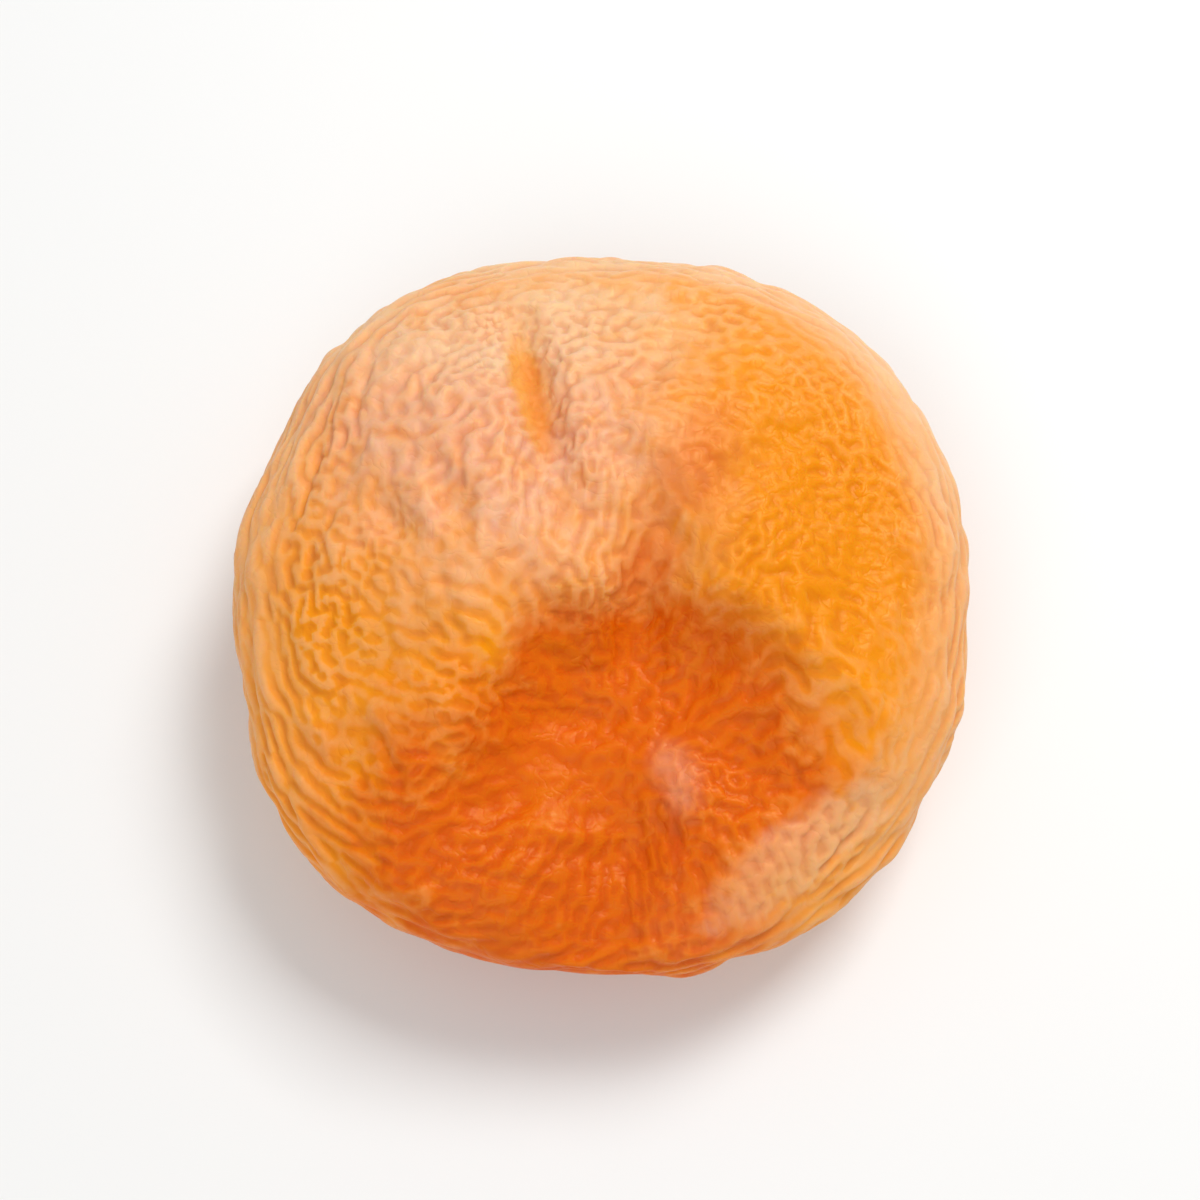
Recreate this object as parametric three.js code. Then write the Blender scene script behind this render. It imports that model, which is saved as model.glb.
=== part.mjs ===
// A dried apricot: whole, with its stone taken out, dried to a thick puckered disc.
// Millimetres, +Z up. The fruit lies on its back and its hollow looks up.
// The stem end points along +Y. The origin is on the surface under the fruit's middle.

import * as THREE from 'three';
import { mergeVertices } from 'three/addons/utils/BufferGeometryUtils.js';

const { degToRad, smoothstep } = THREE.MathUtils;

// Size of the plain body, before its relief is raised and sunk
const WIDTH = 40.8;
const LENGTH = 41.8;
const DOME_HEIGHT = 15.4;
const EQUATOR_HEIGHT = 6.8;
const SHIFT_X = 0.12;
const SHIFT_Y = 0.13;

// Roundness: 2 is an ellipse, and a larger power is fuller at the corners
const OUTLINE_POWER = 2.25;
const UPPER_POWER = 2.65;
const LOWER_POWER = 2.2;

// The small flat spot that it rests on: the back would reach this far past the surface
const PRESSED_DEPTH = 0.45;
const PRESSED_EASE = 0.3;

// The rim by bearing: high at the upper left, low at the lower left where the hollow opens.
// Each share of the dome's rise is added at the rim and fades towards the middle.
const RIM_WAVES = [
  { bearing: -122, spread: 55, share: -0.30 },
  { bearing: 140, spread: 45, share: 0.07 },
  { bearing: 15, spread: 40, share: 0.04 },
  { bearing: -50, spread: 28, share: -0.09 },
];

// The hollow left by the stone: a bowl with a steep upper wall and a long lower slope
const HOLLOW_X = 0.8;
const HOLLOW_Y = -9.2;
const HOLLOW_DEPTH = 4.6;
const HOLLOW_TURN = degToRad(30);
const HOLLOW_HALF_WIDTH = 8.5;
const HOLLOW_REACH_UP = 5.9;
const HOLLOW_REACH_DOWN = 10.4;
const HOLLOW_STEEP_POWER = 4.2;
const HOLLOW_GENTLE_POWER = 2.4;
const HOLLOW_STEEP_START = -4.0;
const HOLLOW_STEEP_FULL = 3.0;
const HOLLOW_WAVES = [
  { count: 3, share: 0.06, phase: 0.4 },
  { count: 5, share: 0.06, phase: 2.0 },
  { count: 8, share: 0.03, phase: 4.6 },
];

// The shallow dish between the hollow and the rim, on the right
const DISH_X = 14.0;
const DISH_Y = 1.0;
const DISH_BEARING = degToRad(100);
const DISH_HALF_LENGTH = 7.0;
const DISH_HALF_WIDTH = 3.4;
const DISH_DEPTH = 1.0;

// Soft lobes that bulge beside the stem slit and push into the hollow
const LOBES = [
  { x: -7.5, y: 2.8, radius: 6.0, height: 1.2 },
  { x: 3.2, y: 6.2, radius: 5.0, height: 0.8 },
  { x: 8.0, y: -0.8, radius: 3.4, height: 0.55 },
  { x: 4.4, y: -11.8, radius: 2.6, height: 0.7 },
  { x: -4.4, y: -12.4, radius: 3.2, height: 0.5 },
];

// The slit at the stem end, closed to a crease that runs from the rim into the hollow
const SLIT_X = -1.8;
const SLIT_SLOPE = -0.2;
const SLIT_START_Y = -1.5;
const SLIT_FULL_Y = 7.0;
const SLIT_END_Y = 10.5;
const SLIT_GONE_Y = 16.5;
const SLIT_DEPTH = 1.6;
const SLIT_WIDTH = 1.2;

// Short creases where the skin has puckered, each along its own bearing
const PLEATS = [
  { x: -7.9, y: 2.4, bearing: 121, length: 2.6, width: 0.9, depth: 0.7 },
  { x: -10.9, y: 1.4, bearing: 126, length: 2.2, width: 0.9, depth: 0.6 },
  { x: 1.4, y: 4.4, bearing: 118, length: 2.0, width: 0.9, depth: 0.5 },
  { x: 2.6, y: 10.2, bearing: 57, length: 2.8, width: 1.0, depth: 0.5 },
  { x: 8.0, y: 4.6, bearing: 40, length: 3.4, width: 1.2, depth: 0.45 },
  { x: -11.5, y: -6.0, bearing: 20, length: 3.6, width: 1.3, depth: 0.5 },
  { x: 1.0, y: -16.6, bearing: 85, length: 3.6, width: 1.4, depth: 0.5 },
  { x: 2.3, y: -1.3, bearing: 72, length: 3.4, width: 1.4, depth: 1.5 },
  { x: -1.2, y: -8.0, bearing: 172, length: 3.4, width: 0.9, depth: 0.5 },
  { x: 7.6, y: -9.4, bearing: 65, length: 3.0, width: 1.0, depth: 0.45 },
  { x: 1.8, y: -14.5, bearing: 20, length: 3.4, width: 1.1, depth: 0.4 },
];

// The lip: a thin raised fold that curls round the right wall of the hollow
const LIP_X = 6.2;
const LIP_Y = -11.0;
const LIP_RADIUS = 7.9;
const LIP_START = degToRad(-22);
const LIP_END = degToRad(112);
const LIP_FADE = degToRad(28);
const LIP_HEIGHT = 0.6;
const LIP_WIDTH = 1.2;
const LIP_WANDER = 0.5;
const LIP_WANDERS = 5;

// The suture: a shallow groove down the stem end and up the tip end of the side
const SUTURE_BEARINGS = [106, -70];
const SUTURE_DEPTH = 0.2;
const SUTURE_WIDTH = 1.6;

// A facet pressed into the lower right of the rim
const FACET_BEARING = degToRad(-52);
const FACET_RISE = degToRad(38);
const FACET_DISTANCE = 20.4;
const FACET_EASE = 1.2;

// Broad swells that make the fruit uneven: each runs along a heading and wavers sideways
const SWELLS = [
  { x: 0.81, y: 0.35, z: 0.47, wavelength: 21.0, height: 0.22, phase: 0.6 },
  { x: -0.42, y: 0.78, z: 0.46, wavelength: 16.0, height: 0.16, phase: 2.9 },
  { x: 0.30, y: -0.66, z: 0.69, wavelength: 12.0, height: 0.10, phase: 4.1 },
  { x: -0.74, y: -0.55, z: 0.39, wavelength: 9.0, height: 0.07, phase: 1.3 },
];
const SWELL_WAVER = 0.9;
const SIDE_SWELL_SHARE = 0.6;

// Main wrinkles of the side: soft folds that lean a little round it
const SIDE_FOLDS = [
  { count: 9, depth: 0.08, lean: 0.05, phase: 0.7 },
  { count: 14, depth: 0.06, lean: -0.07, phase: 2.1 },
  { count: 19, depth: 0.04, lean: 0.09, phase: 4.4 },
];

// How far down the face's relief and how far in the side's relief reach, as shares of the body
const FACE_FADE = 0.65;
const SIDE_FADE_START = 0.56;
const SIDE_FADE_FULL = 0.96;

// Fineness of the mesh, the turn that lays its rows along the slit, and how much it crowds the face
const SEGMENTS_ACROSS = 34;
const SEGMENTS_UP = 16;
const GRID_TURN = Math.atan(-SLIT_SLOPE);
const GRID_LIFT = 0.3;

// A smooth bump, 1 at zero and almost gone at 2
const bell = (t) => Math.exp(-t * t);

const sumOf = (list, value) => list.reduce((sum, item) => sum + value(item), 0);

// Angle from one bearing to another, between -PI and PI
function turnBetween(from, to) {
  return Math.atan2(Math.sin(to - from), Math.cos(to - from));
}

// Half-width of the outline, seen from above, in the direction of an angle
function outlineRadius(angle) {
  const across = Math.abs(Math.cos(angle)) / (WIDTH / 2);
  const along = Math.abs(Math.sin(angle)) / (LENGTH / 2);
  return (across ** OUTLINE_POWER + along ** OUTLINE_POWER) ** (-1 / OUTLINE_POWER);
}

// Share of the dome's rise that the rim gains or loses at an angle
function rimWave(angle) {
  return sumOf(RIM_WAVES, ({ bearing, spread, share }) => (
    share * bell(turnBetween(degToRad(bearing), angle) / degToRad(spread))
  ));
}

// The plain body: a rounded disc, fuller on top than underneath. The edge and the rise are the
// shares of the disc's half-width and of its half-height at which a point lies.
function bodyPoint(direction) {
  const angle = Math.atan2(direction.y, direction.x);
  const level = Math.hypot(direction.x, direction.y);
  const power = direction.z > 0 ? UPPER_POWER : LOWER_POWER;
  const scale = (level ** power + Math.abs(direction.z) ** power) ** (-1 / power);
  const edge = level * scale;
  const rise = direction.z * scale;
  const dome = (DOME_HEIGHT - EQUATOR_HEIGHT) * (1 + edge ** 2 * rimWave(angle));
  const height = EQUATOR_HEIGHT + rise * (rise > 0 ? dome : EQUATOR_HEIGHT + PRESSED_DEPTH);
  const reach = outlineRadius(angle) * edge;
  const point = new THREE.Vector3(reach * Math.cos(angle), reach * Math.sin(angle), height);
  return { point, angle, edge, rise };
}

// Depth of the hollow under the dome
function hollowDepth(x, y) {
  const dx = x - HOLLOW_X;
  const dy = y - HOLLOW_Y;
  const across = dx * Math.cos(HOLLOW_TURN) + dy * Math.sin(HOLLOW_TURN);
  const along = -dx * Math.sin(HOLLOW_TURN) + dy * Math.cos(HOLLOW_TURN);
  const reach = along > 0 ? HOLLOW_REACH_UP : HOLLOW_REACH_DOWN;
  const turn = Math.atan2(along, across);
  const waves = sumOf(HOLLOW_WAVES, (wave) => wave.share * Math.sin(wave.count * turn + wave.phase));
  const away = Math.hypot(across / HOLLOW_HALF_WIDTH, along / reach) * (1 + waves);
  const steep = smoothstep(along, HOLLOW_STEEP_START, HOLLOW_STEEP_FULL);
  const power = HOLLOW_GENTLE_POWER + (HOLLOW_STEEP_POWER - HOLLOW_GENTLE_POWER) * steep;
  return HOLLOW_DEPTH * Math.exp(-(away ** power));
}

function dishDepth(x, y) {
  const dx = x - DISH_X;
  const dy = y - DISH_Y;
  const along = dx * Math.cos(DISH_BEARING) + dy * Math.sin(DISH_BEARING);
  const across = -dx * Math.sin(DISH_BEARING) + dy * Math.cos(DISH_BEARING);
  return DISH_DEPTH * bell(Math.hypot(along / DISH_HALF_LENGTH, across / DISH_HALF_WIDTH));
}

function lobeHeight(x, y) {
  return sumOf(LOBES, (lobe) => (
    lobe.height * bell(Math.hypot(x - lobe.x, y - lobe.y) / lobe.radius)
  ));
}

function slitDepth(x, y) {
  const offset = x - (SLIT_X + SLIT_SLOPE * y);
  const start = smoothstep(y, SLIT_START_Y, SLIT_FULL_Y);
  const end = 1 - smoothstep(y, SLIT_END_Y, SLIT_GONE_Y);
  return SLIT_DEPTH * start * end * bell(offset / SLIT_WIDTH);
}

function pleatDepth(x, y) {
  return sumOf(PLEATS, (pleat) => {
    const cos = Math.cos(degToRad(pleat.bearing));
    const sin = Math.sin(degToRad(pleat.bearing));
    const along = (x - pleat.x) * cos + (y - pleat.y) * sin;
    const across = -(x - pleat.x) * sin + (y - pleat.y) * cos;
    return pleat.depth * bell(along / pleat.length) * bell(across / pleat.width);
  });
}

function lipHeight(x, y) {
  const angle = Math.atan2(y - LIP_Y, x - LIP_X);
  const radius = LIP_RADIUS + LIP_WANDER * Math.sin(LIP_WANDERS * angle);
  const offset = Math.hypot(x - LIP_X, y - LIP_Y) - radius;
  const start = smoothstep(angle, LIP_START - LIP_FADE, LIP_START + LIP_FADE);
  const end = 1 - smoothstep(angle, LIP_END - LIP_FADE, LIP_END + LIP_FADE);
  return LIP_HEIGHT * start * end * bell(offset / LIP_WIDTH);
}

// Everything that raises or sinks the upper face
function faceRelief({ x, y }) {
  const raised = lobeHeight(x, y) + lipHeight(x, y);
  const sunk = hollowDepth(x, y) + dishDepth(x, y);
  return raised - sunk - slitDepth(x, y) - pleatDepth(x, y);
}

// Everything that moves the side in or out
function sideRelief(point, angle) {
  const folds = sumOf(SIDE_FOLDS, ({ count, depth, lean, phase }) => (
    depth * Math.sin(count * (angle + lean * point.z) + phase)
  ));
  const girth = Math.hypot(point.x, point.y);
  const suture = sumOf(SUTURE_BEARINGS, (bearing) => (
    SUTURE_DEPTH * bell(turnBetween(degToRad(bearing), angle) * girth / SUTURE_WIDTH)
  ));
  return folds - suture;
}

function swellHeight({ x, y, z }) {
  return sumOf(SWELLS, (swell) => {
    const turn = 2 * Math.PI / swell.wavelength;
    const run = turn * (swell.x * x + swell.y * y + swell.z * z);
    const waver = SWELL_WAVER * Math.sin(turn * (swell.y * x - swell.x * y) + 2 * swell.phase);
    return swell.height * Math.sin(run + waver + swell.phase);
  });
}

// Push a point back where it stands past the facet's plane
function pressFacet(point) {
  const normal = new THREE.Vector3(
    Math.cos(FACET_BEARING) * Math.cos(FACET_RISE),
    Math.sin(FACET_BEARING) * Math.cos(FACET_RISE),
    Math.sin(FACET_RISE),
  );
  const past = Math.max(point.dot(normal) - FACET_DISTANCE, 0);
  point.addScaledVector(normal, -(past ** 2) / (past + FACET_EASE));
}

// One point of the skin, from the direction in which it lies on a unit ball
function skinPoint(direction) {
  const { point, angle, edge, rise } = bodyPoint(direction);
  const faceShare = smoothstep(rise, 0, FACE_FADE);
  const sideShare = smoothstep(edge, SIDE_FADE_START, SIDE_FADE_FULL);
  const swell = swellHeight(point);
  const up = faceShare * (faceRelief(point) + swell);
  const out = sideShare * (sideRelief(point, angle) + SIDE_SWELL_SHARE * swell);
  point.add(new THREE.Vector3(out * Math.cos(angle), out * Math.sin(angle), up));
  pressFacet(point);
  const height = Math.max(point.z, 0);
  point.z = height ** 2 / (height + PRESSED_EASE);
  return point;
}

// Split each square of the grid along its shorter diagonal, so that folds stay smooth
function splitAlongFolds(geometry) {
  const position = geometry.getAttribute('position');
  const corner = (i) => new THREE.Vector3().fromBufferAttribute(position, i);
  const index = geometry.getIndex().array;
  for (let i = 0; i < index.length; i += 6) {
    const [a, b, d, , c] = index.subarray(i, i + 6);
    if (corner(a).distanceTo(corner(c)) < corner(b).distanceTo(corner(d))) {
      index.set([a, b, c, a, c, d], i);
    }
  }
}

// A grid on a box, which has no poles, swelled to the fruit's shape
function driedApricotGeometry() {
  const box = new THREE.BoxGeometry(2, 2, 2, SEGMENTS_ACROSS, SEGMENTS_ACROSS, SEGMENTS_UP);
  box.deleteAttribute('normal');
  box.deleteAttribute('uv');
  const geometry = mergeVertices(box);
  const position = geometry.getAttribute('position');
  const up = new THREE.Vector3(0, 0, 1);
  const evenAngle = (coordinate) => Math.tan(coordinate * Math.PI / 4);
  for (let i = 0; i < position.count; i += 1) {
    const direction = new THREE.Vector3(
      evenAngle(position.getX(i)),
      evenAngle(position.getY(i)),
      evenAngle(position.getZ(i)),
    );
    direction.normalize().addScaledVector(up, GRID_LIFT).normalize();
    const point = skinPoint(direction.applyAxisAngle(up, GRID_TURN));
    position.setXYZ(i, point.x + SHIFT_X, point.y + SHIFT_Y, point.z);
  }
  splitAlongFolds(geometry);
  geometry.computeVertexNormals();
  return geometry;
}

const flesh = new THREE.MeshStandardMaterial({ color: 0xf2972b, roughness: 0.45, metalness: 0 });
const driedApricot = new THREE.Mesh(driedApricotGeometry(), flesh);
driedApricot.name = 'dried_apricot';

const fruit = new THREE.Group();
fruit.add(driedApricot);

export default fruit;
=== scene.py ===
# %% [markdown]
# # A dried apricot
#
# This lesson makes one whole dried apricot, without its stone, lying on its back. Fresh, it was a
# smooth ball. As it dried, the space where the stone had been fell in, the skin became too large
# for the flesh, and both puckered. So the look comes in layers: a thick disc with a round rim and a
# deep hollow, then lobes, creases and folds, then fine crinkles, and last the colour of clear
# orange flesh. The lesson makes them in that order.
#
# The solid model of the fruit is loaded first. It fixes the size and the place of everything here.

# %% Load the solid model and keep its box
import math

import bpy
import numpy as np
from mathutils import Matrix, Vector


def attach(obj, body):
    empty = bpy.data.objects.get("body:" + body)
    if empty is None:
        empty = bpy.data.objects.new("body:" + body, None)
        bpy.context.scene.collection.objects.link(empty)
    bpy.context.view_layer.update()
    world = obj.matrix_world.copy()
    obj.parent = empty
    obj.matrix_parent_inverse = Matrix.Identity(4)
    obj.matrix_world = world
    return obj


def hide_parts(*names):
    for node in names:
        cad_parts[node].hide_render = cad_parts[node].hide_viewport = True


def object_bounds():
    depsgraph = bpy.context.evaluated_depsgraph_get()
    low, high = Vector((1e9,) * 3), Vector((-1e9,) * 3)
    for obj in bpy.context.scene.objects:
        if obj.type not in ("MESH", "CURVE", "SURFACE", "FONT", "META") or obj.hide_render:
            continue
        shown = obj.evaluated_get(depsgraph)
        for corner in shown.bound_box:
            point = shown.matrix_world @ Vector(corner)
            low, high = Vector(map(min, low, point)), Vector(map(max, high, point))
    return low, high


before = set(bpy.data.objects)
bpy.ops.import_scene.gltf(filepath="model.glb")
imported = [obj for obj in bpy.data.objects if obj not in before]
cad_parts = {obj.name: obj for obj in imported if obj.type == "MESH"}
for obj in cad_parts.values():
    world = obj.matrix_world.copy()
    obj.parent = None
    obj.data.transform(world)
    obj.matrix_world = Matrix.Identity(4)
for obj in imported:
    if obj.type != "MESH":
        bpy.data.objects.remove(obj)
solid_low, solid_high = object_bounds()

NODE = "dried_apricot"
MM = 0.001
solid_size = (solid_high - solid_low) / MM
print("solid model:", [round(side, 1) for side in solid_size], "mm")

# %% [markdown]
# ## The plain body
#
# Seen from above, the fruit is a little squarer than a circle. Cut through, it is a rounded disc
# that is fuller on top than underneath. It could be sculpted by hand from a ball, or pressed flat
# in a simulation. Formulas are the better way here, because the solid model was made with them: the
# same named sizes give the same fruit, and the detailed skin then fits it exactly.
#
# Sizes are in millimetres, as on a drawing, and the finished points are turned into metres.

# %% Sizes of the plain body
WIDTH = 40.8
LENGTH = 41.8
DOME_HEIGHT = 15.4
EQUATOR_HEIGHT = 6.8
SHIFT = (0.12, 0.13, 0.0)
OUTLINE_POWER = 2.25
UPPER_POWER = 2.65
LOWER_POWER = 2.2
PRESSED_DEPTH = 0.45
PRESSED_EASE = 0.3

# Where the rim stands higher or lower: bearing, spread, share of the dome's rise
RIM_WAVES = [
    (-122, 55, -0.30),
    (140, 45, 0.07),
    (15, 40, 0.04),
    (-50, 28, -0.09),
]


# %% Helpers for smooth shapes
def bell(t):
    """A smooth bump, 1 at zero and almost gone at 2."""
    return np.exp(-t * t)


def smoothstep(t, low, high):
    t = np.clip((t - low) / (high - low), 0, 1)
    return t * t * (3 - 2 * t)


def unit(vectors):
    """The same directions with a length of 1."""
    return vectors / np.maximum(np.linalg.norm(vectors, axis=1, keepdims=True), 1e-9)


def turn_between(start, end):
    """The angle from one bearing to another, between -pi and pi."""
    return np.arctan2(np.sin(end - start), np.cos(end - start))


# %% The plain body's points
def outline_radius(angle):
    across = np.abs(np.cos(angle)) / (WIDTH / 2)
    along = np.abs(np.sin(angle)) / (LENGTH / 2)
    return (across**OUTLINE_POWER + along**OUTLINE_POWER) ** (-1 / OUTLINE_POWER)


def rim_wave(angle):
    return sum(
        share * bell(turn_between(math.radians(bearing), angle) / math.radians(spread))
        for bearing, spread, share in RIM_WAVES
    )


def body_points(rays):
    """Points of the plain body, from directions on a unit ball.

    The edge and the rise are the shares of the disc's half-width and half-height at each point.
    """
    angle = np.arctan2(rays[:, 1], rays[:, 0])
    level = np.hypot(rays[:, 0], rays[:, 1])
    power = np.where(rays[:, 2] > 0, UPPER_POWER, LOWER_POWER)
    scale = (level**power + np.abs(rays[:, 2]) ** power) ** (-1 / power)
    edge = level * scale
    rise = rays[:, 2] * scale
    dome = (DOME_HEIGHT - EQUATOR_HEIGHT) * (1 + edge**2 * rim_wave(angle))
    height = EQUATOR_HEIGHT + rise * np.where(rise > 0, dome, EQUATOR_HEIGHT + PRESSED_DEPTH)
    reach = outline_radius(angle) * edge
    return np.stack([reach * np.cos(angle), reach * np.sin(angle), height], axis=1), edge, rise


# %% [markdown]
# ## The hollow, the lobes and the creases
#
# The stone left a bowl in the face. Its upper wall is steep, because two plump lobes lean over it.
# Between them lies the slit at the stem end, where the stone was pushed out, dried shut to a crease.
# A thin lip of skin curls round the bowl's right wall. Each is one short formula that raises or
# sinks the face, so it can be read, moved and made deeper by itself.

# %% Sizes of the face's relief
HOLLOW_X = 0.8
HOLLOW_Y = -9.2
HOLLOW_DEPTH = 4.6
HOLLOW_TURN = math.radians(30)
HOLLOW_HALF_WIDTH = 8.5
HOLLOW_REACH_UP = 5.9
HOLLOW_REACH_DOWN = 10.4
HOLLOW_STEEP_POWER = 4.2
HOLLOW_GENTLE_POWER = 2.4
HOLLOW_STEEP_START = -4.0
HOLLOW_STEEP_FULL = 3.0
# Count round the edge, share, phase
HOLLOW_WAVES = [
    (3, 0.06, 0.4),
    (5, 0.06, 2.0),
    (8, 0.03, 4.6),
]

DISH_X = 14.0
DISH_Y = 1.0
DISH_BEARING = math.radians(100)
DISH_HALF_LENGTH = 7.0
DISH_HALF_WIDTH = 3.4
DISH_DEPTH = 1.0

# x, y, radius, height
LOBES = [
    (-7.5, 2.8, 6.0, 1.2),
    (3.2, 6.2, 5.0, 0.8),
    (8.0, -0.8, 3.4, 0.55),
    (4.4, -11.8, 2.6, 0.7),
    (-4.4, -12.4, 3.2, 0.5),
]

SLIT_X = -1.8
SLIT_SLOPE = -0.2
SLIT_START_Y = -1.5
SLIT_FULL_Y = 7.0
SLIT_END_Y = 10.5
SLIT_GONE_Y = 16.5
SLIT_DEPTH = 1.6
SLIT_WIDTH = 1.2

# x, y, bearing, length, width, depth
PLEATS = [
    (-7.9, 2.4, 121, 2.6, 0.9, 0.7),
    (-10.9, 1.4, 126, 2.2, 0.9, 0.6),
    (1.4, 4.4, 118, 2.0, 0.9, 0.5),
    (2.6, 10.2, 57, 2.8, 1.0, 0.5),
    (8.0, 4.6, 40, 3.4, 1.2, 0.45),
    (-11.5, -6.0, 20, 3.6, 1.3, 0.5),
    (1.0, -16.6, 85, 3.6, 1.4, 0.5),
    (2.3, -1.3, 72, 3.4, 1.4, 1.5),
    (-1.2, -8.0, 172, 3.4, 0.9, 0.5),
    (7.6, -9.4, 65, 3.0, 1.0, 0.45),
    (1.8, -14.5, 20, 3.4, 1.1, 0.4),
]

LIP_X = 6.2
LIP_Y = -11.0
LIP_RADIUS = 7.9
LIP_START = math.radians(-22)
LIP_END = math.radians(112)
LIP_FADE = math.radians(28)
LIP_HEIGHT = 0.6
LIP_WIDTH = 1.2
LIP_WANDER = 0.5
LIP_WANDERS = 5


# %% The face's relief
def hollow_share(x, y):
    """1 on the floor of the hollow, and 0 well outside it."""
    dx = x - HOLLOW_X
    dy = y - HOLLOW_Y
    across = dx * math.cos(HOLLOW_TURN) + dy * math.sin(HOLLOW_TURN)
    along = -dx * math.sin(HOLLOW_TURN) + dy * math.cos(HOLLOW_TURN)
    reach = np.where(along > 0, HOLLOW_REACH_UP, HOLLOW_REACH_DOWN)
    turn = np.arctan2(along, across)
    waves = sum(share * np.sin(count * turn + phase) for count, share, phase in HOLLOW_WAVES)
    away = np.hypot(across / HOLLOW_HALF_WIDTH, along / reach) * (1 + waves)
    steep = smoothstep(along, HOLLOW_STEEP_START, HOLLOW_STEEP_FULL)
    power = HOLLOW_GENTLE_POWER + (HOLLOW_STEEP_POWER - HOLLOW_GENTLE_POWER) * steep
    return np.exp(-(away**power))


def dish_depth(x, y):
    """The shallow dish between the hollow and the rim, on the right."""
    dx = x - DISH_X
    dy = y - DISH_Y
    along = dx * math.cos(DISH_BEARING) + dy * math.sin(DISH_BEARING)
    across = -dx * math.sin(DISH_BEARING) + dy * math.cos(DISH_BEARING)
    return DISH_DEPTH * bell(np.hypot(along / DISH_HALF_LENGTH, across / DISH_HALF_WIDTH))


def lobe_height(x, y):
    return sum(
        height * bell(np.hypot(x - lobe_x, y - lobe_y) / radius)
        for lobe_x, lobe_y, radius, height in LOBES
    )


def slit_depth(x, y):
    offset = x - (SLIT_X + SLIT_SLOPE * y)
    start = smoothstep(y, SLIT_START_Y, SLIT_FULL_Y)
    end = 1 - smoothstep(y, SLIT_END_Y, SLIT_GONE_Y)
    return SLIT_DEPTH * start * end * bell(offset / SLIT_WIDTH)


def pleat_depth(x, y):
    total = np.zeros_like(x)
    for pleat_x, pleat_y, bearing, length, width, depth in PLEATS:
        cos, sin = math.cos(math.radians(bearing)), math.sin(math.radians(bearing))
        along = (x - pleat_x) * cos + (y - pleat_y) * sin
        across = -(x - pleat_x) * sin + (y - pleat_y) * cos
        total += depth * bell(along / length) * bell(across / width)
    return total


def lip_height(x, y):
    angle = np.arctan2(y - LIP_Y, x - LIP_X)
    radius = LIP_RADIUS + LIP_WANDER * np.sin(LIP_WANDERS * angle)
    offset = np.hypot(x - LIP_X, y - LIP_Y) - radius
    start = smoothstep(angle, LIP_START - LIP_FADE, LIP_START + LIP_FADE)
    end = 1 - smoothstep(angle, LIP_END - LIP_FADE, LIP_END + LIP_FADE)
    return LIP_HEIGHT * start * end * bell(offset / LIP_WIDTH)


def face_relief(x, y):
    sunk = HOLLOW_DEPTH * hollow_share(x, y) + dish_depth(x, y)
    creased = slit_depth(x, y) + pleat_depth(x, y)
    return lobe_height(x, y) + lip_height(x, y) - sunk - creased


# %% [markdown]
# ## The sides, the back and the uneven whole
#
# Nothing that dries is even. A few broad swells run through the whole fruit, soft folds go round
# its side, a shallow groove marks the suture at both ends, and one spot of the rim is pressed flat.
# The back is pressed flat too where it rests, and only there, so the fruit lies still.

# %% Sizes of the sides' relief
SUTURE_BEARINGS = [106, -70]
SUTURE_DEPTH = 0.2
SUTURE_WIDTH = 1.6

FACET_BEARING = math.radians(-52)
FACET_RISE = math.radians(38)
FACET_DISTANCE = 20.4
FACET_EASE = 1.2

# Heading x, y, z, then wavelength, height, phase
SWELLS = [
    (0.81, 0.35, 0.47, 21.0, 0.22, 0.6),
    (-0.42, 0.78, 0.46, 16.0, 0.16, 2.9),
    (0.30, -0.66, 0.69, 12.0, 0.10, 4.1),
    (-0.74, -0.55, 0.39, 9.0, 0.07, 1.3),
]
SWELL_WAVER = 0.9
SIDE_SWELL_SHARE = 0.6

# Count round the side, depth, lean, phase
SIDE_FOLDS = [
    (9, 0.08, 0.05, 0.7),
    (14, 0.06, -0.07, 2.1),
    (19, 0.04, 0.09, 4.4),
]

FACE_FADE = 0.65
SIDE_FADE_START = 0.56
SIDE_FADE_FULL = 0.96


# %% The sides' relief
def side_relief(points, angle):
    folds = sum(
        depth * np.sin(count * (angle + lean * points[:, 2]) + phase)
        for count, depth, lean, phase in SIDE_FOLDS
    )
    girth = np.hypot(points[:, 0], points[:, 1])
    suture = sum(
        SUTURE_DEPTH * bell(turn_between(math.radians(bearing), angle) * girth / SUTURE_WIDTH)
        for bearing in SUTURE_BEARINGS
    )
    return folds - suture


def swell_height(points):
    x, y, z = points.T
    total = np.zeros_like(x)
    for head_x, head_y, head_z, wavelength, height, phase in SWELLS:
        turn = 2 * math.pi / wavelength
        run = turn * (head_x * x + head_y * y + head_z * z)
        waver = SWELL_WAVER * np.sin(turn * (head_y * x - head_x * y) + 2 * phase)
        total += height * np.sin(run + waver + phase)
    return total


def press_facet(points):
    """Pushes points back where they stand past the facet's plane."""
    normal = np.array([
        math.cos(FACET_BEARING) * math.cos(FACET_RISE),
        math.sin(FACET_BEARING) * math.cos(FACET_RISE),
        math.sin(FACET_RISE),
    ])
    past = np.maximum(points @ normal - FACET_DISTANCE, 0)
    return points - np.outer(past**2 / (past + FACET_EASE), normal)


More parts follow.
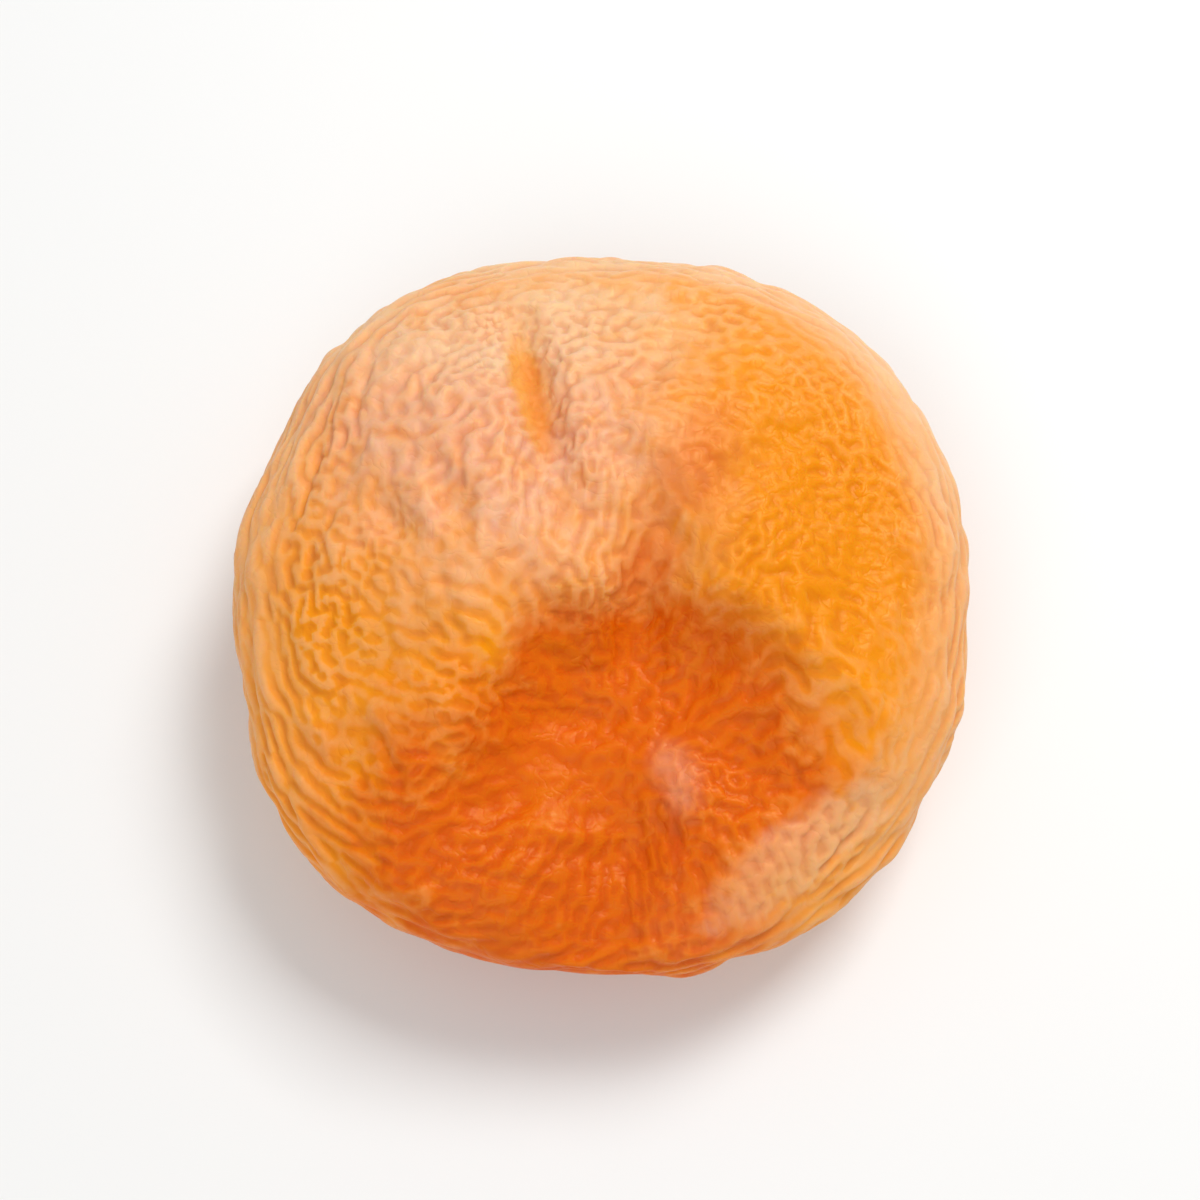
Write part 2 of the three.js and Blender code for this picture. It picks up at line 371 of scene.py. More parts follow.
# %% The whole skin's points
def skin_points(rays):
    """Points of the skin, from directions on a unit ball, and what the plain body is at each."""
    plain, edge, rise = body_points(rays)
    angle = np.arctan2(plain[:, 1], plain[:, 0])
    face_share = smoothstep(rise, 0, FACE_FADE)
    side_share = smoothstep(edge, SIDE_FADE_START, SIDE_FADE_FULL)
    swell = swell_height(plain)
    up = face_share * (face_relief(plain[:, 0], plain[:, 1]) + swell)
    out = side_share * (side_relief(plain, angle) + SIDE_SWELL_SHARE * swell)
    points = plain + np.stack([out * np.cos(angle), out * np.sin(angle), up], axis=1)
    points = press_facet(points)
    height = np.maximum(points[:, 2], 0)
    points[:, 2] = height**2 / (height + PRESSED_EASE)
    return points + SHIFT, plain, edge, rise


# %% [markdown]
# ## A mesh with no poles
#
# A sphere with rings and segments has two poles, where its faces shrink to needles and any crinkle
# turns into a star. A cube's grid, swelled to a ball, has none. The ball is then flattened to the
# fruit in even steps along the skin, because plain scaling would squash the squares at the rim and
# stretch them beside it. So the fine crinkles come out alike on the face, the side and the back.

# %% The grid of a cube, as directions from its middle
GRID_COUNT = 128


def cube_grid(count):
    """Directions and squares of a cube's grid, with the corners of its six sides shared."""
    index = {}

    def corner(*place):
        return index.setdefault(place, len(index))

    def side(place):
        """One side of the cube. place(i, j) gives a corner, turning left seen from outside."""
        return [
            [corner(*place(i + a, j + b)) for a, b in ((0, 0), (1, 0), (1, 1), (0, 1))]
            for i in range(count)
            for j in range(count)
        ]

    squares = side(lambda i, j: (i, j, count))
    squares += side(lambda i, j: (j, i, 0))
    squares += side(lambda i, j: (i, 0, j))
    squares += side(lambda i, j: (count - i, count, j))
    squares += side(lambda i, j: (0, count - i, j))
    squares += side(lambda i, j: (count, i, j))
    lattice = np.array(list(index), float) / count * 2 - 1
    return unit(np.tan(lattice * math.pi / 4)), squares


# %% The same grid in even steps along the skin
FACE_CROWDING = 0.215
MERIDIAN_STEPS = 800


def even_steps(rays):
    """Tilts the directions so that they meet the skin evenly, a little closer together on the face.

    It also gives how far along the skin each one is from the middle of the face.
    """
    tilt = np.linspace(0, math.pi, MERIDIAN_STEPS)
    meridian, _, _ = body_points(np.stack([np.sin(tilt), 0 * tilt, np.cos(tilt)], axis=1))
    steps = np.linalg.norm(np.diff(meridian, axis=0), axis=1)
    travelled = np.concatenate([[0], np.cumsum(steps)])
    share = np.arccos(np.clip(rays[:, 2], -1, 1)) / math.pi
    run = travelled[-1] * share * (1 - FACE_CROWDING + FACE_CROWDING * share**2)
    tilt = np.interp(run, travelled, tilt)
    turn = np.arctan2(rays[:, 1], rays[:, 0])
    level = np.sin(tilt)
    return np.stack([level * np.cos(turn), level * np.sin(turn), np.cos(tilt)], axis=1), run


rays, squares = cube_grid(GRID_COUNT)
rays, run = even_steps(rays)
points, plain, edge, rise = skin_points(rays)
squares = np.array(squares)
sides = np.linalg.norm(points[squares] - points[np.roll(squares, 1, axis=1)], axis=2)
print("grid:", len(points), "points,", len(squares), "squares,", sides.mean().round(2), "mm across")


# %% The smooth fruit as a mesh
def make_mesh(name, places, faces):
    mesh = bpy.data.meshes.new(name)
    mesh.from_pydata((places * MM).tolist(), [], np.asarray(faces).tolist())
    mesh.polygons.foreach_set("use_smooth", [True] * len(mesh.polygons))
    mesh.update()
    return mesh


def store(mesh, name, values):
    """Keeps a number, or a vector, at each point of a mesh for the nodes to read."""
    values = np.asarray(values, np.float32)
    kind, field = ("FLOAT", "value") if values.ndim == 1 else ("FLOAT_VECTOR", "vector")
    attribute = mesh.attributes.new(name, kind, "POINT")
    attribute.data.foreach_set(field, values.ravel())


fruit_mesh = make_mesh("apricot_smooth", points, squares)
fruit = bpy.data.objects.new("apricot_smooth", fruit_mesh)
bpy.context.scene.collection.objects.link(fruit)

# %% [markdown]
# ## Where the skin differs
#
# A painter would mask the fruit into regions before working on them, and so does this lesson. A
# mask is a number at every point, about 1 inside its region and 0 well outside it, worked out from
# where the point lies. The crinkles and the colours read the same masks, so they change together,
# as they do on the fruit. The regions of the face are ellipses, each on one line of a table.

# %% The face's regions
# x, y, half-width, half-length, bearing of the length
ZONES = {
    "blush": (-6.0, 7.0, 8.5, 10.5, 150),
    "ridge": (8.0, -0.8, 2.6, 4.0, 150),
    # glow is painted light: a yellow glow where the key light shines through the flesh on the lit
    # side
    "glow": (10.8, 1.4, 6.8, 9.6, 114),
    "bloom": (-4.0, 13.8, 4.6, 10.0, 5),
    # low_slope: a deeper colour down the lower slope, partly the flesh's own, partly painted shade
    "low_slope": (-2.5, -16.5, 8.0, 11.0, 155),
    # notch: painted shade, a deeper colour in the deep crease at the hollow's upper corner
    "notch": (2.3, -1.5, 1.7, 4.0, 72),
    "band": (4.4, 3.6, 2.3, 5.5, 62),
    "scar": (-3.9, 9.4, 1.0, 4.2, 101),
    # knob: a painted highlight, a pale spot on the small bump in the hollow
    "knob": (4.0, -11.4, 1.6, 2.8, 106),
    # shaded_seam: a short crease, painted dark red as painted shade
    "shaded_seam": (3.7, -14.4, 0.45, 1.8, 98),
    "pale_patch": (10.8, -15.6, 2.6, 6.6, 32),
}


def zone_mask(name, x, y):
    zone_x, zone_y, half_width, half_length, bearing = ZONES[name]
    cos, sin = math.cos(math.radians(bearing)), math.sin(math.radians(bearing))
    along = (x - zone_x) * cos + (y - zone_y) * sin
    across = -(x - zone_x) * sin + (y - zone_y) * cos
    return bell(np.hypot(along / half_length, across / half_width))


# %% Masks for the regions
FACE_START = 0.1
FACE_FULL = 0.55
RIM_START = 0.77
RIM_FULL = 0.93
RIM_LOW = -0.25
RIM_HIGH = 0.1
# Painted light: the rim is painted pale only on the side toward the key light
LIT_RIM_BEARING = math.radians(72)
LIT_RIM_SPREAD = math.radians(105)
LOW_SLOPE_START = -0.9
LOW_SLOPE_FULL = -0.2
REST_CLEAR = 0.25
REST_FADE = 1.6
PLEAT_RING = 9.5
PLEAT_SPREAD = 6.0

face = smoothstep(rise, FACE_START, FACE_FULL)
x, y = plain[:, 0], plain[:, 1]
masks = {
    "hollow": face * hollow_share(x, y),
    "rim": smoothstep(edge, RIM_START, RIM_FULL) * smoothstep(rise, RIM_LOW, RIM_HIGH),
    "lit_side": bell(turn_between(LIT_RIM_BEARING, np.arctan2(y, x)) / LIT_RIM_SPREAD),
    "slit": face * slit_depth(x, y) / SLIT_DEPTH,
}
masks.update({name: face * zone_mask(name, x, y) for name in ZONES})
low_slope_share = smoothstep(rise, LOW_SLOPE_START, LOW_SLOPE_FULL)
masks["low_slope"] = low_slope_share * zone_mask("low_slope", x, y)
from_hollow = np.hypot(x - HOLLOW_X, y - HOLLOW_Y)
masks["pleated"] = face * bell((from_hollow - PLEAT_RING) / PLEAT_SPREAD)

# %% [markdown]
# One more mask says how strongly the skin crinkles. Puckered skin crinkles most and clear flesh
# less. The spot that it rests on was pressed smooth, so nothing there lifts the fruit off the floor.

# %% How strongly the skin crinkles
HOLLOW_PUCKERED = 0.45
PLAIN_CRINKLED = 0.9
PUCKERED_CRINKLED = 0.3
LEAST_CRINKLED = 0.15
MOST_CRINKLED = 1.2
HOLLOW_SMOOTH_START = 0.3
HOLLOW_SMOOTH_FULL = 0.8
HOLLOW_SMOOTHER = 0.15
ZONES_SMOOTHER = {"glow": 0.4, "low_slope": 0.2, "scar": 0.7}

hollow_puckered = HOLLOW_PUCKERED * masks["hollow"]
masks["puckered"] = np.maximum(np.maximum(masks["blush"], masks["ridge"]), hollow_puckered)
hollow_floor = smoothstep(masks["hollow"], HOLLOW_SMOOTH_START, HOLLOW_SMOOTH_FULL)
smoother = HOLLOW_SMOOTHER * hollow_floor
for name, share in ZONES_SMOOTHER.items():
    smoother += share * masks[name]
crinkled = PLAIN_CRINKLED + PUCKERED_CRINKLED * masks["puckered"] - smoother
crinkled = np.clip(crinkled, LEAST_CRINKLED, MOST_CRINKLED)
masks["crinkled"] = smoothstep(points[:, 2], REST_CLEAR, REST_CLEAR + REST_FADE) * crinkled
for name, values in masks.items():
    store(fruit_mesh, name, values)
print("masks:", ", ".join(sorted(masks)))

# %% Two ways across the skin
# One is how far along the skin each point is from the face's middle
store(fruit_mesh, "run", run * MM)

# The other goes round the hollow, and its third number is the distance from the hollow
turn = np.arctan2(y - HOLLOW_Y, x - HOLLOW_X)
round_hollow = np.stack(
    [np.cos(turn) * PLEAT_RING, np.sin(turn) * PLEAT_RING, from_hollow], axis=1
)
store(fruit_mesh, "round_hollow", round_hollow * MM)
print("farthest along the skin:", run.max().round(1), "mm")


# %% [markdown]
# ## Crinkles that grow
#
# The skin has become too large for the flesh that it covers, so it buckles. Each raised spot lifts
# its near neighbours with it, and presses down the skin a little farther away. Wherever that rule
# holds, in drying skin, sand ripples or the coat of a zebra, ridges of an even width grow by
# themselves, out of any small unevenness. A noise texture could stand in for them, but its bumps
# stay round and separate. Here the rule itself is played out over the mesh, a few rounds long.
#
# The start is plain random unevenness, smeared along the way that the folds should run: round the
# fruit near its rim, and down into the hollow near the middle. Both the smear and the lifting and
# pressing need values that spread from each point to its neighbours, as heat does. How fast they
# flow along an edge follows from the shapes of the triangles beside it, so the grid itself leaves
# no pattern.

# %% How a value would slope over each triangle
def corner_slopes(points, triangles):
    """The slope that a value of 1 at each corner gives a triangle, and twice its area."""
    corners = points[triangles]
    opposite = np.roll(corners, 1, axis=1) - np.roll(corners, -1, axis=1)
    normal = np.cross(opposite[:, 0], opposite[:, 1])
    double_area = np.linalg.norm(normal, axis=1)
    flat_normal = normal / double_area[:, None]
    return np.cross(flat_normal[:, None], opposite) / double_area[:, None, None], double_area


# %% Spread values over the skin
SIDEWAYS_SHARE = 0.12


def make_spread(points, squares, reach, along=None):
    """A function that blurs values over the skin by a width in mm, all ways or mostly along one.

    The reach makes the blur wider where it is above 1, and narrower where it is below 1.
    """
    triangles = np.concatenate([squares[:, [0, 1, 2]], squares[:, [0, 2, 3]]])
    slopes, double_area = corner_slopes(points, triangles)
    first, second = [0, 1, 2], [1, 2, 0]
    pull = np.einsum("tij,tij->ti", slopes[:, first], slopes[:, second])
    if along is not None:
        heading = along[triangles].mean(axis=1)
        lengthwise = np.einsum("tij,tj->ti", slopes, heading)
        pull = SIDEWAYS_SHARE * pull + lengthwise[:, first] * lengthwise[:, second]
    pull *= reach[triangles].mean(axis=1)[:, None] ** 2
    pull = np.maximum(-pull * double_area[:, None] / 2, 0)

    pairs = np.stack([triangles[:, first], triangles[:, second]], axis=-1)
    pairs = np.sort(pairs.reshape(-1, 2))
    keys, place = np.unique(pairs[:, 0] * len(points) + pairs[:, 1], return_inverse=True)
    weight = np.bincount(place.ravel(), pull.ravel())
    one, other = keys // len(points), keys % len(points)
    area = np.bincount(triangles.ravel(), np.repeat(double_area / 6, 3), len(points))
    total = np.bincount(one, weight, len(points)) + np.bincount(other, weight, len(points))
    longest_step = 1 / (total / area).max()

    def spread(values, width):
        steps = math.ceil(width**2 / 2 / longest_step)
        share = width**2 / 2 / steps / area
        for _ in range(steps):
            flow = weight * (values[other] - values[one])
            gain = np.bincount(one, flow, len(values)) - np.bincount(other, flow, len(values))
            values = values + share * gain
        return values

    return spread


# %% [markdown]
# The folds' direction is a heading at every point. Near the rim it goes round the fruit, near the
# hollow it points at it, and on the lobes it has little say, so the crinkles there run any way. How
# far the rule reaches varies slowly over the skin, so some crinkles are wider than others.

# %% The folds' direction
INWARD_SHARE = 0.9
RIM_HEADING = 2
FACE_LESS_HEADING = 1.6


def fold_heading():
    """The way that the folds run at each point, longer where it counts for more."""
    round_rim = unit(np.stack([-points[:, 1], points[:, 0], 0 * x], axis=1))
    inward = unit(np.stack([HOLLOW_X - x, HOLLOW_Y - y, 0 * x], axis=1))
    near_hollow = (masks["pleated"] * INWARD_SHARE)[:, None]
    near_rim = (RIM_HEADING - FACE_LESS_HEADING * face * (1 - masks["rim"]))[:, None]
    return near_rim * round_rim * (1 - near_hollow) + near_hollow * inward


# %% Let the crinkles grow
CRINKLE_SEED = 41
CRINKLE_NEAR = 0.15
CRINKLE_FAR = 0.25
CRINKLE_ROUNDS = 3
CRINKLE_GAIN = 1.6
CRINKLE_BIAS = 0.3
START_STREAK = 0.32
REACH_WAVES = 1.9
REACH_VARIES = 0.35
REACH_MEAN = 1.02
SEAM_SINK = 1.2


def grow_crinkles():
    reach = REACH_MEAN * np.exp(REACH_VARIES * swell_height(plain * REACH_WAVES))
    spread = make_spread(points, squares, reach)
    smear = make_spread(points, squares, reach, fold_heading())
    generator = np.random.default_rng(CRINKLE_SEED)
    values = smear(generator.standard_normal(len(points)), START_STREAK)
    for _ in range(CRINKLE_ROUNDS):
        near = spread(values, CRINKLE_NEAR)
        far = spread(near, math.sqrt(CRINKLE_FAR**2 - CRINKLE_NEAR**2))
        contrast = near - far
        values = np.tanh(CRINKLE_GAIN * contrast / contrast.std() + CRINKLE_BIAS)
    print("reach:", reach.min().round(2), "to", reach.max().round(2))
    return spread(values, CRINKLE_NEAR / 2)


crinkle_field = grow_crinkles() - SEAM_SINK * masks["shaded_seam"]
store(fruit_mesh, "crinkle", crinkle_field)
print("crinkles: mean", crinkle_field.mean().round(2), "spread", crinkle_field.std().round(2))

# %% [markdown]
# ## Raise the skin with Geometry Nodes
#
# The skin now rises in three layers, which only say how high it stands at each point. That suits
# Geometry Nodes, where each layer has a size that can be tried out by hand. The grown crinkles are
# about a millimetre apart. Under them lie broader puckers, and round the hollow lie pleats that run
# down into it. Puckers and pleats are plump ridges with narrow valleys. The absolute value of a
# noise gives just this form, because the noise crosses zero along thin lines.
#
# Some patches dried smoother than others, so a slow noise turns the crinkles down there. The height
# is kept on the mesh as well, because the material paints shade into the valleys and highlights on
# the ridges, as painted light.

# %% Helpers that add nodes
def add_node(tree, kind, inputs=None, **settings):
    """Adds a node, sets its settings, and fills its inputs with values or links."""
    node = tree.nodes.new(kind)
    for name, value in settings.items():
        setattr(node, name, value)
    for key, value in (inputs or {}).items():
        if isinstance(value, bpy.types.NodeSocket):
            tree.links.new(value, node.inputs[key])
        else:
            node.inputs[key].default_value = value
    return node


def math_node(tree, operation, *values, clamp=False):
    inputs = dict(enumerate(values))
    return add_node(tree, "ShaderNodeMath", inputs, operation=operation, use_clamp=clamp).outputs[0]


def vector_node(tree, operation, *values, scale=None):
    inputs = dict(enumerate(values))
    if scale is not None:
        inputs["Scale"] = scale
    return add_node(tree, "ShaderNodeVectorMath", inputs, operation=operation).outputs[0]


def times(tree, first, second):
    return math_node(tree, "MULTIPLY", first, second)


def rest_of(tree, share):
    """What is left of 1 beside a share."""
    return math_node(tree, "SUBTRACT", 1.0, share)


def stretch(tree, value, low, high, to_low=0.0, to_high=1.0):
    """Turns the range from low to high into the range from to_low to to_high."""
    inputs = {
        "Value": value, "From Min": low, "From Max": high, "To Min": to_low, "To Max": to_high,
    }
    return add_node(tree, "ShaderNodeMapRange", inputs).outputs[0]


def noise_node(tree, vector, scale, detail=1.0, roughness=0.5, w=None):
    """A noise between 0 and 1. Its scale is in features a metre, and w is a fourth direction."""
    inputs = {"Vector": vector, "Scale": scale, "Detail": detail, "Roughness": roughness}
    if w is None:
        return add_node(tree, "ShaderNodeTexNoise", inputs, noise_dimensions="3D")
    inputs["W"] = w
    return add_node(tree, "ShaderNodeTexNoise", inputs, noise_dimensions="4D")


# %% The tree's inputs
# Heights and the waver are in metres, and scales in features a metre
CRINKLE_INPUTS = {
    "Pucker height": ("NodeSocketFloat", 0.55 * MM),
    "Pucker scale": ("NodeSocketFloat", 260.0),
    "Crinkle height": ("NodeSocketFloat", 0.19 * MM),
    "Patch scale": ("NodeSocketFloat", 170.0),
    "Smooth patches": ("NodeSocketFloat", 0.4),
    "Pleat height": ("NodeSocketFloat", 0.36 * MM),
    "Pleat scale": ("NodeSocketFloat", 330.0),
    "Waver": ("NodeSocketFloat", 2.2 * MM),
    "Waver scale": ("NodeSocketFloat", 150.0),
    "Seed": ("NodeSocketFloat", 7.3),
    "Skin": ("NodeSocketMaterial", None),
}


def start_tree(name):
    """A tree with the inputs above, and the sockets that give their values."""
    tree = bpy.data.node_groups.new(name, "GeometryNodeTree")
    tree.interface.new_socket("Geometry", in_out="INPUT", socket_type="NodeSocketGeometry")
    for title, (kind, _) in CRINKLE_INPUTS.items():
        tree.interface.new_socket(title, in_out="INPUT", socket_type=kind)
    tree.interface.new_socket("Geometry", in_out="OUTPUT", socket_type="NodeSocketGeometry")
    return tree, tree.nodes.new("NodeGroupInput").outputs


def stored(tree, name, kind="FLOAT"):
    """What the mesh keeps under a name at each point."""
    inputs = {"Name": name}
    node = add_node(tree, "GeometryNodeInputNamedAttribute", inputs, data_type=kind)
    return node.outputs["Attribute"]


# %% Plump ridges out of a noise
SOFT_VALLEY = 0.035
RIDGE_GAIN = 3.4
RIDGE_DETAIL = 1.0
RIDGE_ROUGHNESS = 0.4


def ridges(tree, vector, scale, w):
    """Plump ridges and narrow valleys, from 0 to 1."""
    noise = noise_node(tree, vector, scale, RIDGE_DETAIL, RIDGE_ROUGHNESS, w=w).outputs[0]
    centred = math_node(tree, "SUBTRACT", noise, 0.5)
    squared = math_node(tree, "MULTIPLY_ADD", centred, centred, SOFT_VALLEY**2)
    folded = math_node(tree, "SUBTRACT", math_node(tree, "SQRT", squared), SOFT_VALLEY)
    return math_node(tree, "MULTIPLY", folded, RIDGE_GAIN, clamp=True)


# %% The three layers
PUCKER_STRETCH = 0.8
PUCKER_OUTWARD = 1.5
GROWN_LOW = -0.9
GROWN_HIGH = 0.95
PLUMPNESS = 0.8
PLEAT_STRETCH = (1, 1, 0.3)


def add_waver(tree, place, source):
    """A slow random shift, so that no ridge runs straight."""
    noise = noise_node(tree, place, source["Waver scale"], w=source["Seed"]).outputs["Color"]
    centred = vector_node(tree, "SUBTRACT", noise, (0.5, 0.5, 0.5))
    return vector_node(tree, "SCALE", centred, scale=source["Waver"])


def add_puckers(tree, place, waver, source):
    """Puckers, which change faster outward along the skin than round the fruit."""
    wavering = vector_node(tree, "ADD", place, waver)
    wavering = vector_node(tree, "SCALE", wavering, scale=PUCKER_STRETCH)
    sideways = add_node(tree, "ShaderNodeSeparateXYZ", {0: waver}).outputs["X"]
    outward = math_node(tree, "ADD", stored(tree, "run"), sideways)
    outward = times(tree, outward, PUCKER_OUTWARD)
    return ridges(tree, wavering, source["Pucker scale"], outward)


def add_crinkles(tree):
    """The grown crinkles from 0 to 1, with the ridges made plumper."""
    lifted = stretch(tree, stored(tree, "crinkle"), GROWN_LOW, GROWN_HIGH)
    return math_node(tree, "POWER", lifted, PLUMPNESS)


def add_pleats(tree, waver, source):
    """Pleats, which are long because they change slowly towards the hollow."""
    place = stored(tree, "round_hollow", "FLOAT_VECTOR")
    place = vector_node(tree, "MULTIPLY", place, PLEAT_STRETCH)
    place = vector_node(tree, "ADD", place, waver)
    return ridges(tree, place, source["Pleat scale"], source["Seed"])


# %% The patches that dried smoother
PATCH_DETAIL = 2.0
PATCH_LOW = 0.38
PATCH_HIGH = 0.60


def add_patches(tree, place, source):
    """How much of the crinkles is left, which is all of them where the skin is puckered."""
    noise = noise_node(tree, place, source["Patch scale"], PATCH_DETAIL, w=source["Seed"])
    patches = stretch(tree, noise.outputs[0], PATCH_LOW, PATCH_HIGH, source["Smooth patches"])
    return math_node(tree, "MAXIMUM", patches, stored(tree, "puckered"))


# %% The whole tree
PUCKER_LEVEL = 0.4
CRINKLE_LEVEL = 0.6
PLEAT_LEVEL = 0.5
PUCKERS_IN_RELIEF = 0.3


def lift(tree, layer, level, height):
    """How far a layer lifts the skin, where its level is the height of the smooth skin."""
    return times(tree, math_node(tree, "SUBTRACT", layer, level), height)


def make_crinkle_tree():
    tree, source = start_tree("apricot_crinkles")
    place = tree.nodes.new("GeometryNodeInputPosition").outputs[0]
    waver = add_waver(tree, place, source)
    puckers = add_puckers(tree, place, waver, source)
    crinkles = add_crinkles(tree)
    patches = add_patches(tree, place, source)
    pleats = add_pleats(tree, waver, source)

    pucker_lift = lift(tree, puckers, PUCKER_LEVEL, source["Pucker height"])
    crinkle_lift = lift(tree, crinkles, CRINKLE_LEVEL, source["Crinkle height"])
    pleat_lift = lift(tree, pleats, PLEAT_LEVEL, source["Pleat height"])
    total = math_node(tree, "ADD", pucker_lift, times(tree, crinkle_lift, patches))
    total = math_node(tree, "MULTIPLY_ADD", pleat_lift, stored(tree, "pleated"), total)
    total = times(tree, total, stored(tree, "crinkled"))
    normal = tree.nodes.new("GeometryNodeInputNormal").outputs[0]
    offset = vector_node(tree, "SCALE", normal, scale=total)

    depth = times(tree, rest_of(tree, crinkles), patches)
    relief = times(tree, rest_of(tree, depth), 1 - PUCKERS_IN_RELIEF)
    relief = math_node(tree, "MULTIPLY_ADD", puckers, PUCKERS_IN_RELIEF, relief)

    inputs = {"Geometry": source["Geometry"], "Name": "relief", "Value": relief}
    kept = add_node(
        tree, "GeometryNodeStoreNamedAttribute", inputs, data_type="FLOAT", domain="POINT"
    ).outputs[0]
    raised = add_node(tree, "GeometryNodeSetPosition", {"Geometry": kept, "Offset": offset})
    real = add_node(tree, "GeometryNodeRealizeInstances", {"Geometry": raised.outputs[0]})
    inputs = {"Geometry": real.outputs[0], "Material": source["Skin"]}
    finished = add_node(tree, "GeometryNodeSetMaterial", inputs).outputs[0]
    output = tree.nodes.new("NodeGroupOutput")
    tree.links.new(finished, output.inputs[0])
    return tree


# %% [markdown]
# ## The flesh and its skin
#
# Dried apricot is a clear orange jelly under a thin matt skin. Light goes in, loses its blue and
# green within a millimetre or two, and comes out warm, which is what subsurface scattering does.
# The colour isn't one orange: it is pale amber where the rim is thick and dry, and the rim's side
# toward the key light is painted paler still, as painted light. It is yellow where the flesh is
# clear, with a painted glow where the light shines through it on the lit side, deep red-orange in
# the hollow, and pinkish where the skin blushed in the sun. Pale ridges and deep valleys are painted
# highlights and painted shade, and so is the deeper colour low on the fruit and in a few creases.

# %% Colours, and where they show
COLOURS = {
    "amber": (0.87, 0.31, 0.028),
    "yellow": (0.90, 0.31, 0.001),
    # Painted light: the glow of the lit side, also used as the highlight on ridges in clear flesh
    "glow": (0.82, 0.265, 0.001),
    "deep": (0.72, 0.118, 0.001),
    # red also paints shade: in the crinkles' valleys, low on the slope and in the seam
    "red": (0.60, 0.07, 0.004),
    # pale also paints highlights: on the lit rim and on the crinkles' dry ridges
    "pale": (0.84, 0.56, 0.33),
    "blush": (0.82, 0.41, 0.24),
    "scar": (0.84, 0.36, 0.06),
}

# For each mask: where its colour begins to show, where it is full, and how strong it is there
SHOWN = {
    "glow": (0.12, 0.75, 1.0),
    "low_slope": (0.12, 0.6, 1.0),
    "hollow": (0.07, 0.5, 1.0),
    "notch": (0.2, 0.9, 0.7),
    "band": (0.2, 1.0, 0.55),
    "blush": (0.1, 0.75, 1.0),
    "lit_side": (0.1, 0.9, 1.0),
    "pale_patch": (0.3, 0.6, 0.5),
    "bloom": (0.12, 0.8, 0.85),
    "knob": (0.3, 1.0, 0.4),
    "scar": (0.2, 0.7, 0.9),
    "shaded_seam": (0.3, 0.9, 0.6),
    "slit": (0.8, 1.0, 0.4),
}

# The same for painted shade on the lowest part of the slope, for painted highlights on ridges and
# painted shade in valleys, and for pale specks on the ridge highlights
LOWEST_PART_SHADE = (0.5, 1.0, 0.25)
RIDGE_HIGHLIGHTS = (0.5, 1.0, 0.4)
VALLEY_SHADE = (0.5, 0.05, 0.24)
PALE_SPECKS = (0.5, 0.75, 0.5)


# %% Helpers that paint
def painted(tree, name):
    """The number that the mesh keeps under a name at each point."""
    return add_node(tree, "ShaderNodeAttribute", attribute_name=name).outputs["Fac"]


def shown(tree, value, limits):
    """How strongly a colour shows where a mask has this value."""
    low, high, strength = limits
    return stretch(tree, value, low, high, 0.0, strength)


def coat(tree, share, under, colour):
    """Lays one of the colours over what is there, as strongly as the share says.

    A Mix node has sockets for every kind of value. Numbers 6, 7 and 2 are the ones for colours.
    """
    inputs = {"Factor": share, 6: under, 7: (*COLOURS[colour], 1)}
    return add_node(tree, "ShaderNodeMix", inputs, data_type="RGBA").outputs[2]


def strongest(tree, *shares):
    """The largest of several shares at each point."""
    result = shares[0]
    for share in shares[1:]:
        result = math_node(tree, "MAXIMUM", result, share)
    return result


# %% The flesh's noises
# Features a metre, detail and roughness
NOISES = {
    "broad": (130.0, 3.0, 0.55),
    "patchy": (420.0, 3.0, 0.6),
    "stir": (700.0, 1.0, 0.5),
    "fine": (900.0, 3.0, 0.6),
    "squiggles": (1300.0, 1.0, 0.5),
    "grain": (2600.0, 2.0, 0.6),
}
BROAD_RANGE = (0.35, 0.65)
MOTTLING = 2.0


def flesh_noise(tree, name, place):
    return noise_node(tree, place, *NOISES[name])


def region_painter(tree, place):
    """A function that shows a region with an uneven edge, as skin never changes along a line."""
    patchy = flesh_noise(tree, "patchy", place).outputs[0]
    centred = math_node(tree, "SUBTRACT", patchy, 0.5)
    uneven = math_node(tree, "MULTIPLY_ADD", centred, MOTTLING, 1.0)

    def region(name, limits=None):
        return shown(tree, times(tree, painted(tree, name), uneven), limits or SHOWN[name])

    return region


# %% The clear flesh
def clear_flesh(tree, region, broad):
    """Amber to yellow flesh, with a painted glow of light on the lit side, deeper in the hollow and
    below it, partly as painted shade, and the shares of both.
    """
    glow = region("glow")
    # Painted shade: the notch's crease at the hollow's upper corner is painted deeper
    low = strongest(tree, region("low_slope"), region("hollow"), region("notch"), region("band"))
    amber = (*COLOURS["amber"], 1)
    colour = coat(tree, stretch(tree, broad, *BROAD_RANGE), amber, "yellow")
    # Painted light: the yellow glow of light through the flesh on the side toward the key light
    colour = coat(tree, glow, colour, "glow")
    # The lower slope's deeper colour is partly painted shade
    colour = coat(tree, low, colour, "deep")
    # Painted shade: red on the lowest part of the slope
    return coat(tree, region("low_slope", LOWEST_PART_SHADE), colour, "red"), glow, low


# %% The dry skin over it
BLUSH_LOW = 0.3
BLUSH_HIGH = 0.6
BLUSH_LEAST = 0.6
PALE_LEAST = 0.6


